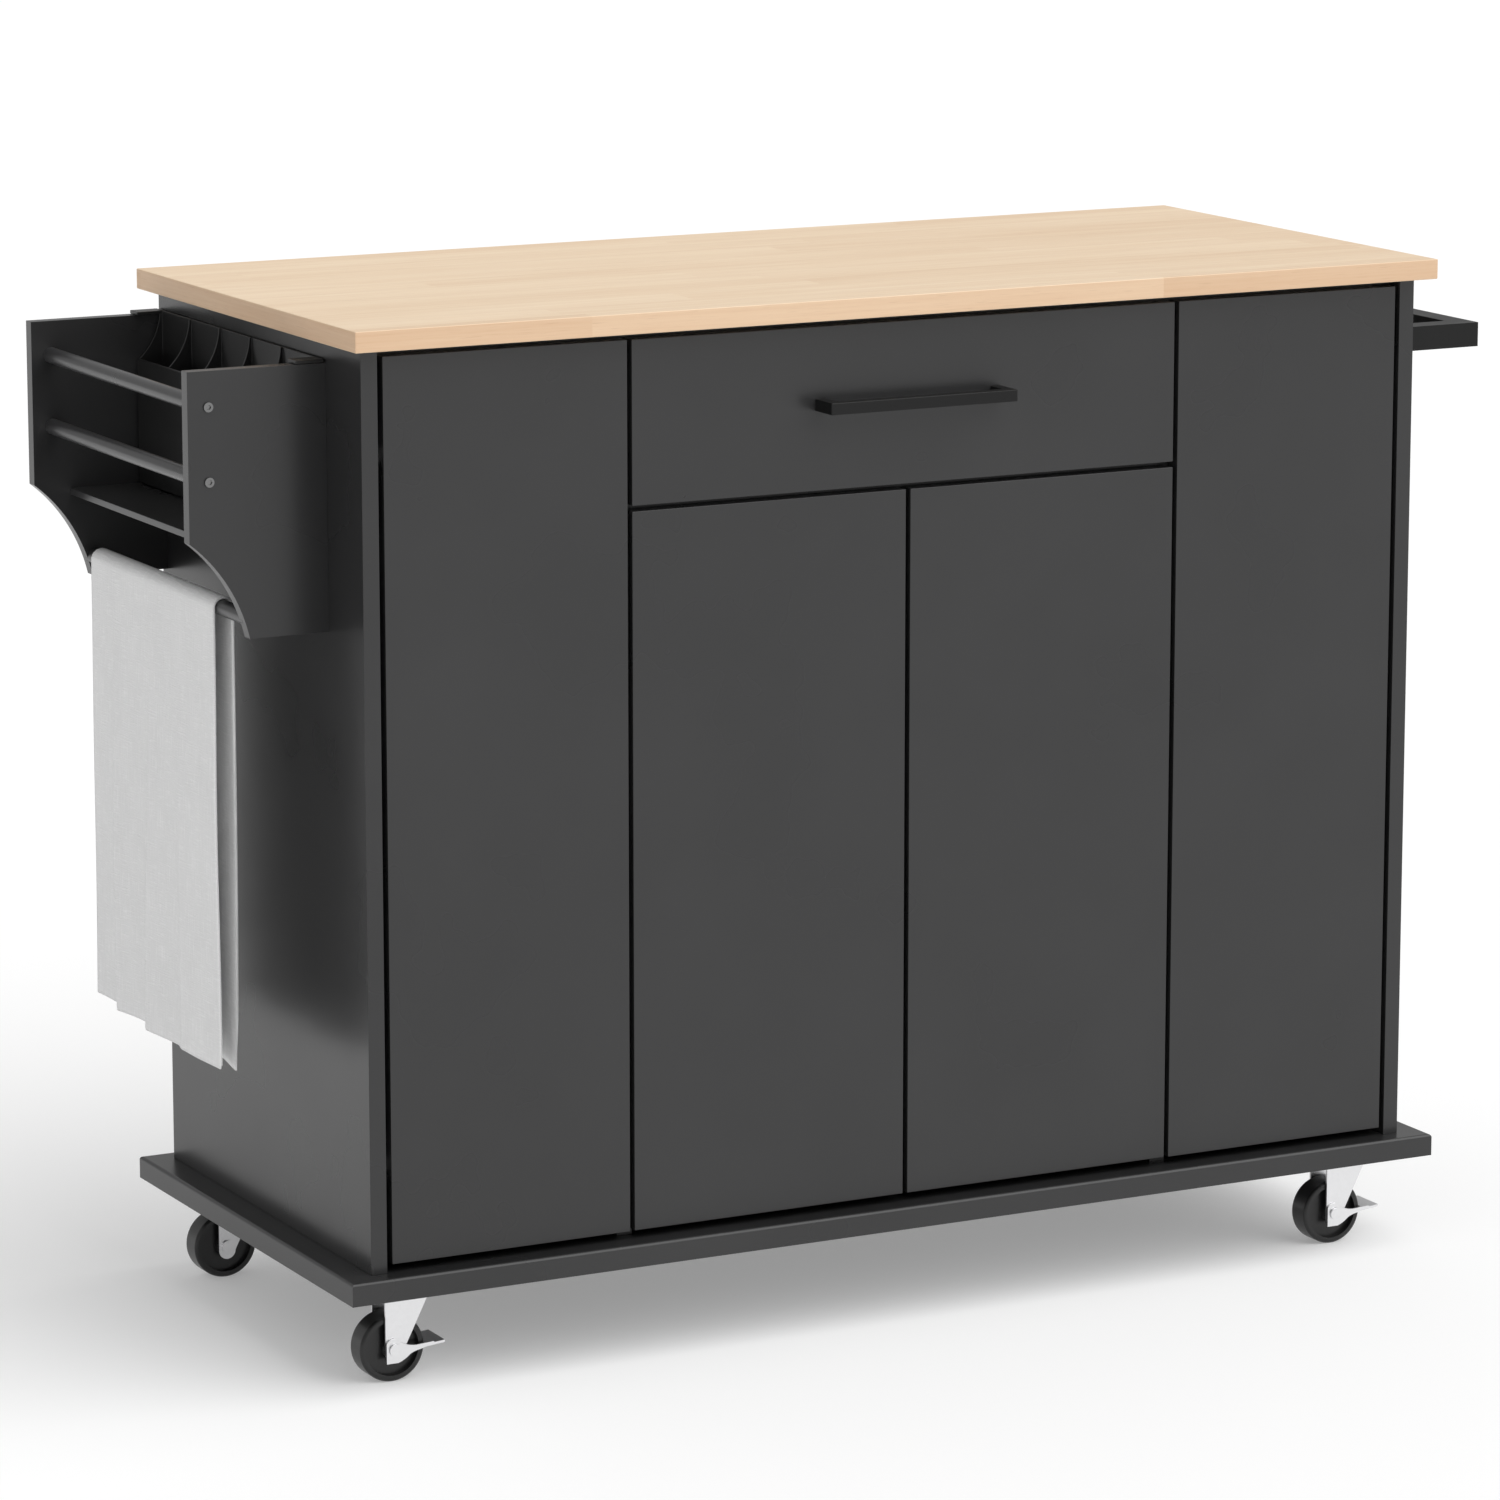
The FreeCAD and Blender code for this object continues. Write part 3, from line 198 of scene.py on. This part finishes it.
def painted(name, colour, roughness):
    """Sprayed satin paint: a little uneven in tone and gloss, with orange peel."""
    paint = Finish(name, colour, roughness, **{"Specular IOR Level": 0.5})
    cloud = paint.noise((7.0, 7.0, 7.0), 3.0)
    peel = paint.noise((750.0, 750.0, 750.0), 2.0)
    lighter = tuple(min(1.0, c * 1.10) for c in colour)
    darker = tuple(c * 0.90 for c in colour)
    paint.colour(paint.blend(paint.fit(cloud, 0.3, 0.7), darker, lighter))
    paint.roughness(paint.fit(cloud, 0.3, 0.7, roughness - 0.03, roughness + 0.03))
    paint.relief(peel, 0.00002)
    return paint


def eased(name, finish, width=0.0006):
    """A copy of a board with its arrises rounded by width, riding where the board does."""
    source = frame["nodes"][name]
    mesh = source.data.copy()
    mesh.materials.clear()
    mesh.materials.append(finish.material)
    piece = bpy.data.objects.new(name + "_eased", mesh)
    bpy.context.scene.collection.objects.link(piece)
    tidy = bmesh.new()
    tidy.from_mesh(mesh)
    bmesh.ops.remove_doubles(tidy, verts=tidy.verts, dist=1e-6)
    flat = math.radians(1.0)
    bmesh.ops.dissolve_limit(tidy, angle_limit=flat, verts=tidy.verts, edges=tidy.edges)
    bmesh.ops.recalc_face_normals(tidy, faces=tidy.faces)
    for face in tidy.faces:
        face.smooth = True
    tidy.to_mesh(mesh)
    tidy.free()
    rounding = piece.modifiers.new("eased", "BEVEL")
    rounding.width = width
    rounding.segments = 2
    rounding.limit_method = "ANGLE"
    rounding.angle_limit = math.radians(50.0)
    piece.modifiers.new("flat_faces", "WEIGHTED_NORMAL")
    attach(piece, source["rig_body"])
    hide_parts(name)
    return piece


charcoal = painted("charcoal_paint", (0.023, 0.023, 0.0235), 0.29)
boards = ["base_board", "left_side_panel", "right_side_panel", "left_partition", "right_partition"]
boards += ["back_panel", "front_stretcher", "rear_stretcher", "drawer_divider"]
boards += ["left_shelf", "centre_shelf", "right_shelf"]
dress(charcoal, "base_board")
for name in boards[1:]:
    eased(name, charcoal)

# ---- Doors and drawer front ------------------------------------------------------------------
# Four inset doors and a drawer front of the same board, sprayed on their faces and edges. They
# hang on concealed hinges and open by push latches, so only the drawer has a pull.

for name in ("left_door", "centre_left_door", "centre_right_door", "right_door", "drawer_front"):
    eased(name, charcoal)

# ---- Hinges, shelf pins, slides and screws ---------------------------------------------------
# Pressed and turned steel, zinc plated bright: small crystals show as faint patches in the plate.


def plated(name, colour, roughness):
    """Plated steel: a metal with crystal patches a few millimetres across and fine scratches."""
    zinc = Finish(name, colour, roughness, Metallic=1.0)
    crystal = zinc.add("ShaderNodeTexVoronoi", {"Vector": zinc.where, "Scale": 320.0}).outputs[1]
    tint = zinc.add("ShaderNodeSeparateColor", {0: crystal}).outputs[0]
    scratch = zinc.noise((1500.0, 300.0, 1500.0), 2.0)
    zinc.colour(zinc.blend(tint, tuple(c * 0.97 for c in colour), colour))
    zinc.roughness(zinc.fit(tint, 0.0, 1.0, roughness - 0.02, roughness + 0.03))
    zinc.relief(scratch, 0.000004)
    return zinc


bright_zinc = plated("bright_zinc", (0.82, 0.82, 0.83), 0.3)
hardware = ["shelf_pins", "hinge_arms", "drawer_slide_rails", "drawer_slide_runners"]
hardware += [n for n in frame["nodes"] if n.endswith("_hinge_cups")]
dress(bright_zinc, *hardware)

# ---- Push latches ----------------------------------------------------------------------------
# Light grey moulded housings screwed under the boards, each with a sprung plunger.


def moulded(name, colour, roughness, grit=1400.0, depth=0.000015, gloss=0.5):
    """Moulded plastic: an even colour with the fine spark-eroded texture of its mould."""
    plastic = Finish(name, colour, roughness, **{"Specular IOR Level": gloss})
    texture = plastic.noise((grit, grit, grit), 2.0)
    flow = plastic.noise((18.0, 18.0, 18.0), 2.0)
    darker = tuple(c * 0.88 for c in colour)
    lighter = tuple(c * 1.1 for c in colour)
    plastic.colour(plastic.blend(flow, darker, lighter))
    plastic.roughness(plastic.fit(flow, 0.3, 0.7, roughness - 0.04, roughness + 0.04))
    plastic.relief(texture, depth)
    return plastic


latch_grey = moulded("latch_plastic", (0.5, 0.5, 0.5), 0.5)
dress(latch_grey, "push_latches", *[n for n in frame["nodes"] if n.endswith("_plunger")])

# ---- Drawer box ------------------------------------------------------------------------------
# Sides and back of laminated board and a thin floor let into them, in the cabinet's colour.

laminate = painted("charcoal_laminate", (0.035, 0.035, 0.036), 0.45)
for name in ("drawer_left_side", "drawer_right_side", "drawer_back", "drawer_floor"):
    eased(name, laminate)

# ---- Drawer pull and push handle -------------------------------------------------------------
# Square steel bar, powder coated black. The coat is a fine leather texture and slightly glossy.

coat = {"grit": 2200.0, "depth": 0.00003, "gloss": 0.25}
powder = moulded("black_powder_coat", (0.007, 0.007, 0.007), 0.4, **coat)
dress(powder, "drawer_pull", "push_handle_bar", "push_handle_front_arm", "push_handle_rear_arm")

# ---- End rack --------------------------------------------------------------------------------
# Two shaped boards with a shelf between them, two round rails screwed in from outside and a towel
# bar let into the boards.

for name in ("rack_front_panel", "rack_back_panel", "rack_shelf"):
    eased(name, charcoal)
rod_paint = painted("charcoal_rod_paint", (0.03, 0.03, 0.031), 0.3)
dress(rod_paint, "upper_rail", "lower_rail", "towel_bar")
dark_steel = plated("dark_steel", (0.22, 0.22, 0.22), 0.35)
dress(dark_steel, "rail_screws")

# ---- Lift-out bin ----------------------------------------------------------------------------
# One black moulding with five pockets, hung by its two ears from the rack's panels.

bin_black = moulded("black_moulding", (0.012, 0.012, 0.012), 0.36)
eased("spice_bin", bin_black, 0.0005)

# ---- Towel -----------------------------------------------------------------------------------
# A light grey cotton and linen kitchen towel, folded once along its length with the fold to the
# front, and hung over the bar. Both layers fall in a few soft pleats that open towards the hem.

CLOTH = 0.0011
PLY_GAP = 0.0007
UNDER_SHIFT = 0.006  # the lower ply stops this far short of the upper one's rear edge
PLEATS = ((0.048, 0.010, 0.0058), (0.121, 0.010, 0.0064), (0.186, 0.016, 0.0030))

bar_low, bar_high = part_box("towel_bar")
towel_low, towel_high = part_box("towel")
bar_x = (bar_low.x + bar_high.x) / 2
bar_z = (bar_low.z + bar_high.z) / 2
bar_radius = (bar_high.z - bar_low.z) / 2


def smooth_step(value, start, end):
    """0 before start and 1 after end, with a smooth cubic between: 3t2 - 2t3."""
    t = np.clip((value - start) / (end - start), 0, 1)
    return t * t * (3 - 2 * t)


def towel_surface(columns, rows):
    """Points of the folded towel on a columns x rows grid.

    Across, c runs from the rear edge of the top ply to the front fold and back in the ply below:
    ply(c) is 1, then the cosine of a half turn round the fold, then -1. Along, s runs from the
    inner hem up to the bar, half round it and down to the outer hem. Each ply lies ply x half
    the gap off the middle path. Each of PLEATS is a start across, the width over which it rises
    and its height, and pushes the hanging legs sideways, more towards the hems.
    """
    half_gap = (CLOTH + PLY_GAP) / 2
    fold_turn = 12
    flat = (columns - fold_turn) // 2
    front = towel_low.y + CLOTH / 2 + half_gap
    rear = towel_high.y
    y_out = np.linspace(rear, front, flat)
    turn = np.linspace(0, math.pi, fold_turn + 2)[1:-1]
    y_under = y_out[::-1] - UNDER_SHIFT * np.linspace(0, 1, flat)
    y = np.concatenate([y_out, front - half_gap * np.sin(turn), y_under])
    ply = np.concatenate([np.ones(flat), np.cos(turn), -np.ones(flat)])
    span = rear - front
    width_under = 2 * span - (rear - y_out[::-1])
    width = np.concatenate([rear - y_out, span + half_gap * turn, width_under])
    back = rear - y

    radius = bar_radius + 0.0003 + CLOTH / 2 + half_gap
    step_1 = smooth_step(back, 0.050, 0.056)
    step_2 = smooth_step(back, 0.123, 0.129)
    corner = smooth_step(back, 0.170, 0.277)
    outer_hem = towel_low.z + 0.0085 - 0.0035 * step_1 - 0.003 * step_2 - 0.003 * corner
    outer_hem = outer_hem + 0.003 * (ply < 0)
    inner_hem = towel_low.z + 0.024 + 0.027 * ply + 0.002 * np.sin(back * 60.0)

    leg = (rows - 33) // 2
    arc = rows - 2 * leg
    down = np.linspace(0, 1, leg)[:, None]
    z_in = inner_hem + (bar_z - inner_hem) * down
    z_out = bar_z + (outer_hem - bar_z) * down
    angle = np.linspace(0, math.pi, arc + 2)[1:-1, None]
    reach = radius + half_gap * ply
    x_in = bar_x + reach + 0 * z_in
    x_out = bar_x - reach + 0 * z_out
    x = np.concatenate([x_in, bar_x + reach * np.cos(angle), x_out])
    z = np.concatenate([z_in, bar_z + reach * np.sin(angle), z_out])

    drop = np.clip(bar_z - z, 0, None)
    side = np.concatenate([np.ones(leg), np.cos(angle[:, 0]), -np.ones(leg)])[:, None]
    open_up = smooth_step(drop, 0.0, 0.34)
    pleats = 0
    for start, rise, height in PLEATS:
        lean = start + 0.004 * np.sin(drop * 9.0 + start * 60.0)
        fall = np.exp(-np.clip(back - lean - rise, 0, None) / 0.034)
        pleats = pleats + height * smooth_step(back, lean, lean + rise) * fall
    drift = 0.0011 * np.sin(back * 31.0 + drop * 5.0)
    drift = drift + 0.0007 * np.sin(back * 74.0 - drop * 11.0 + 1.3)
    outward = open_up * (pleats + drift) + 0.0015 * smooth_step(drop, 0.02, 0.39)
    inward = open_up * (0.5 * pleats[:, ::-1] + drift) - 0.001 * open_up
    x = x + np.where(side < 0, -outward, inward)
    y = y + 0 * z + 0.0016 * np.sin(drop * 13.0 + 0.6) * open_up

    cloth_v = np.concatenate([[0], np.cumsum(np.hypot(np.diff(x[:, 0]), np.diff(z[:, 0])))])
    return np.stack([x, y, z], axis=-1), width, cloth_v


def grid_faces(rows, columns):
    """Quads of a rows x columns grid, numbered row by row."""
    corner = (np.arange(rows - 1)[:, None] * columns + np.arange(columns - 1)).ravel()
    return np.stack([corner, corner + 1, corner + columns + 1, corner + columns], axis=1)


def surface(name, points, finish, u=None, v=None, flip=False):
    """A smooth object from a grid of points, with u across and v along as its UV map, in metres."""
    rows, columns, _ = points.shape
    faces = grid_faces(rows, columns)
    if flip:
        faces = faces[:, ::-1]
    mesh = bpy.data.meshes.new(name)
    mesh.from_pydata(points.reshape(-1, 3).tolist(), [], faces.tolist())
    mesh.polygons.foreach_set("use_smooth", np.ones(len(faces), bool))
    if u is not None:
        uv = np.stack(np.broadcast_arrays(u[None, :], v[:, None]), axis=-1).reshape(-1, 2)
        layer = mesh.uv_layers.new(name="cloth")
        layer.data.foreach_set("uv", uv[faces.ravel()].ravel())
    mesh.materials.append(finish.material)
    mesh.update()
    piece = bpy.data.objects.new(name, mesh)
    bpy.context.scene.collection.objects.link(piece)
    return piece


def woven(name, colour, pitch):
    """Plain weave from the UV map: threads over and under as a product of sines, with slubs."""
    cloth = Finish(name, colour, 0.9, **{"Sheen Weight": 0.25, "Sheen Roughness": 0.5})
    uv = cloth.place.outputs["UV"]
    across, along, _ = cloth.add("ShaderNodeSeparateXYZ", {0: uv}).outputs
    waves = math.pi / pitch
    warp = cloth.sum("SINE", cloth.sum("MULTIPLY", across, waves))
    weft = cloth.sum("SINE", cloth.sum("MULTIPLY", along, waves))
    weave = cloth.fit(cloth.sum("MULTIPLY", warp, weft), -1.0, 1.0)
    slub = cloth.noise((900.0, 42.0, 1.0), 2.0, uv)
    nub = cloth.noise((60.0, 700.0, 1.0), 2.0, uv)
    cloud = cloth.noise((28.0, 16.0, 1.0), 2.0, uv)
    thick = cloth.sum("ADD", cloth.fit(slub, 0.5, 0.75), cloth.fit(nub, 0.5, 0.75))
    shade = cloth.sum("ADD", cloth.sum("MULTIPLY", weave, 0.3), cloth.sum("MULTIPLY", thick, 0.35))
    shade = cloth.sum("ADD", shade, cloth.sum("MULTIPLY", cloud, 0.35))
    darker = tuple(c * 0.84 for c in colour)
    lighter = tuple(min(1, c * 1.1) for c in colour)
    cloth.colour(cloth.blend(shade, darker, lighter))
    height = cloth.sum("ADD", weave, cloth.sum("MULTIPLY", thick, 1.2))
    cloth.relief(height, 0.00018)
    return cloth


cotton = woven("towel_weave", (0.85, 0.85, 0.85), 0.0009)
points, across, along = towel_surface(208, 193)
towel = surface("kitchen_towel", points, cotton, across, along)
cloth_wall = towel.modifiers.new("cloth", "SOLIDIFY")
cloth_wall.thickness = CLOTH
cloth_wall.offset = 0.0
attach(towel, "cabinet")
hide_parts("towel")

# ---- Casters ---------------------------------------------------------------------------------
# Zinc plated plates and forks with a riveted axle, black nylon wheels, and on the front pair a
# stamped brake lever.

dress(bright_zinc, "caster_plates", "caster_screws")
wheel_nylon = moulded("wheel_nylon", (0.008, 0.008, 0.008), 0.32, grit=900.0)
for corner in ("front_left", "front_right", "rear_left", "rear_right"):
    dress(bright_zinc, f"{corner}_fork")
    dress(wheel_nylon, f"{corner}_wheel")
dress(bright_zinc, "front_left_brake_lever", "front_right_brake_lever")

# ---- Studio ----------------------------------------------------------------------------------
# A pale seamless floor under an even white sky, with one large soft light high at the front right.

bpy.context.scene.view_settings.view_transform = "Standard"
world = bpy.data.worlds.new("studio")
world.use_nodes = True
world.node_tree.nodes["Background"].inputs[0].default_value = (1, 1, 1, 1)
world.node_tree.nodes["Background"].inputs[1].default_value = 0.52
bpy.context.scene.world = world

glow = {"Specular IOR Level": 0.1, "Emission Color": (1, 1, 1, 1), "Emission Strength": 0.26}
pale = Finish("pale_floor", (0.76, 0.76, 0.76), 0.9, **glow)
grid = np.stack(np.meshgrid(np.linspace(-60, 60, 3), np.linspace(-60, 60, 3), [0.0]), axis=-1)
floor = surface("floor", grid[:, :, 0, :], pale)

soft_light = bpy.data.objects.new("soft_light", bpy.data.lights.new("soft_light", "SUN"))
soft_light.data.energy = 2.1
soft_light.data.angle = math.radians(70.0)
soft_light.rotation_euler = (math.radians(40.0), 0.0, math.radians(42.0))
bpy.context.scene.collection.objects.link(soft_light)

camera = bpy.data.objects.new("camera", bpy.data.cameras.new("camera"))
camera.data.lens = 155.6
camera.data.sensor_width = 36.0
camera.location = (-2.6696, -5.1053, 1.6382)
camera.rotation_euler = (math.radians(90.0 - 11.376), 0.0, math.radians(-27.432))
bpy.context.scene.collection.objects.link(camera)
bpy.context.scene.camera = camera
